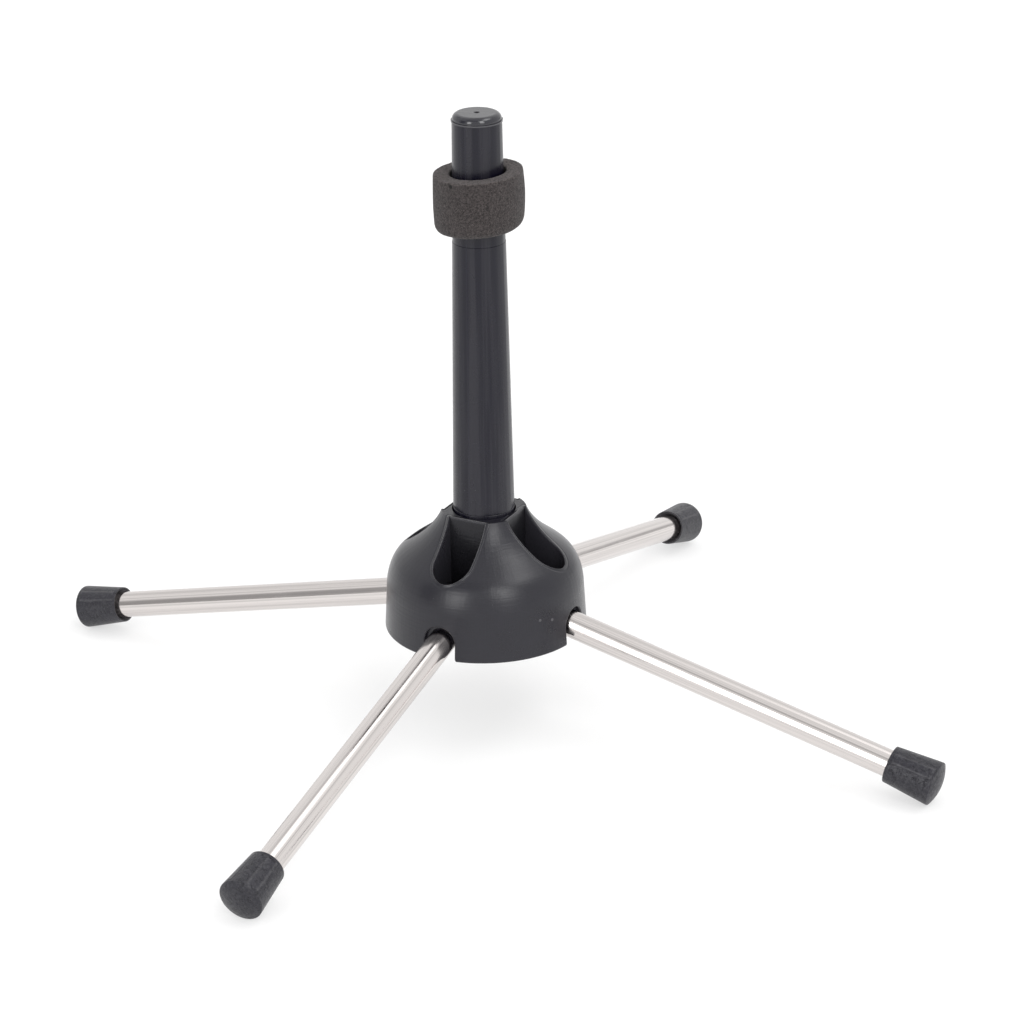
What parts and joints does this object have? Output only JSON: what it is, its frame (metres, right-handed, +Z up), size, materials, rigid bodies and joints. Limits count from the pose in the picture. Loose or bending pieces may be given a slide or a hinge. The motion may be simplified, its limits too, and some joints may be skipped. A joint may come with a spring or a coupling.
{
  "type": "wind instrument peg stand",
  "caption": "Folding stand for a small wind instrument: an upright tapered peg with a foam ring on a domed plastic hub with fold-down steel legs.",
  "frame": {"origin": "on the floor, on the upright axis of the peg and hub", "axes": "+Z up along the peg, -Y along the front leg, +X along the right leg"},
  "size_m": [0.2874, 0.2874, 0.1843],
  "materials": {
    "hub_plastic": "moulded black, satin",
    "peg_plastic": "moulded black, satin",
    "cap_plastic": "moulded black, semi-gloss",
    "foot_plastic": "soft black plastic",
    "polished_steel": "polished",
    "pin_steel": "drawn",
    "foam": "open-pored foam"
  },
  "bodies": {
    "hub": {"hub_shell": "hub_plastic"},
    "peg": {"peg_tube": "peg_plastic", "peg_cap": "cap_plastic"},
    "ring": {"foam_ring": "foam"},
    "leg_right": {"leg_tube_right": "polished_steel", "pivot_pin_right": "pin_steel", "foot_cap_right": "foot_plastic"},
    "leg_back": {"leg_tube_back": "polished_steel", "pivot_pin_back": "pin_steel", "foot_cap_back": "foot_plastic"},
    "leg_left": {"leg_tube_left": "polished_steel", "pivot_pin_left": "pin_steel", "foot_cap_left": "foot_plastic"},
    "leg_front": {"leg_tube_front": "polished_steel", "pivot_pin_front": "pin_steel", "foot_cap_front": "foot_plastic"}
  },
  "joints": [
    {"name": "leg_fold_right", "type": "hinge", "parent": "hub", "child": "leg_right", "pos_m": [0.016, 0, 0.03651], "axis": [0, 1, 0], "range_deg": [0, 76.5]},
    {"name": "leg_fold_back", "type": "hinge", "parent": "hub", "child": "leg_back", "pos_m": [0, 0.016, 0.03651], "axis": [-1, 0, 0], "range_deg": [0, 76.5]},
    {"name": "leg_fold_left", "type": "hinge", "parent": "hub", "child": "leg_left", "pos_m": [-0.016, 0, 0.03651], "axis": [0, -1, 0], "range_deg": [0, 76.5]},
    {"name": "leg_fold_front", "type": "hinge", "parent": "hub", "child": "leg_front", "pos_m": [0, -0.016, 0.03651], "axis": [1, 0, 0], "range_deg": [0, 76.5]},
    {"name": "peg_lift", "type": "slide", "parent": "hub", "child": "peg", "axis": [0, 0, 1], "range_m": [0, 0.028]},
    {"name": "foam_slide", "type": "slide", "parent": "peg", "child": "ring", "axis": [0, 0, 1], "range_m": [0, 0.036]}
  ]
}
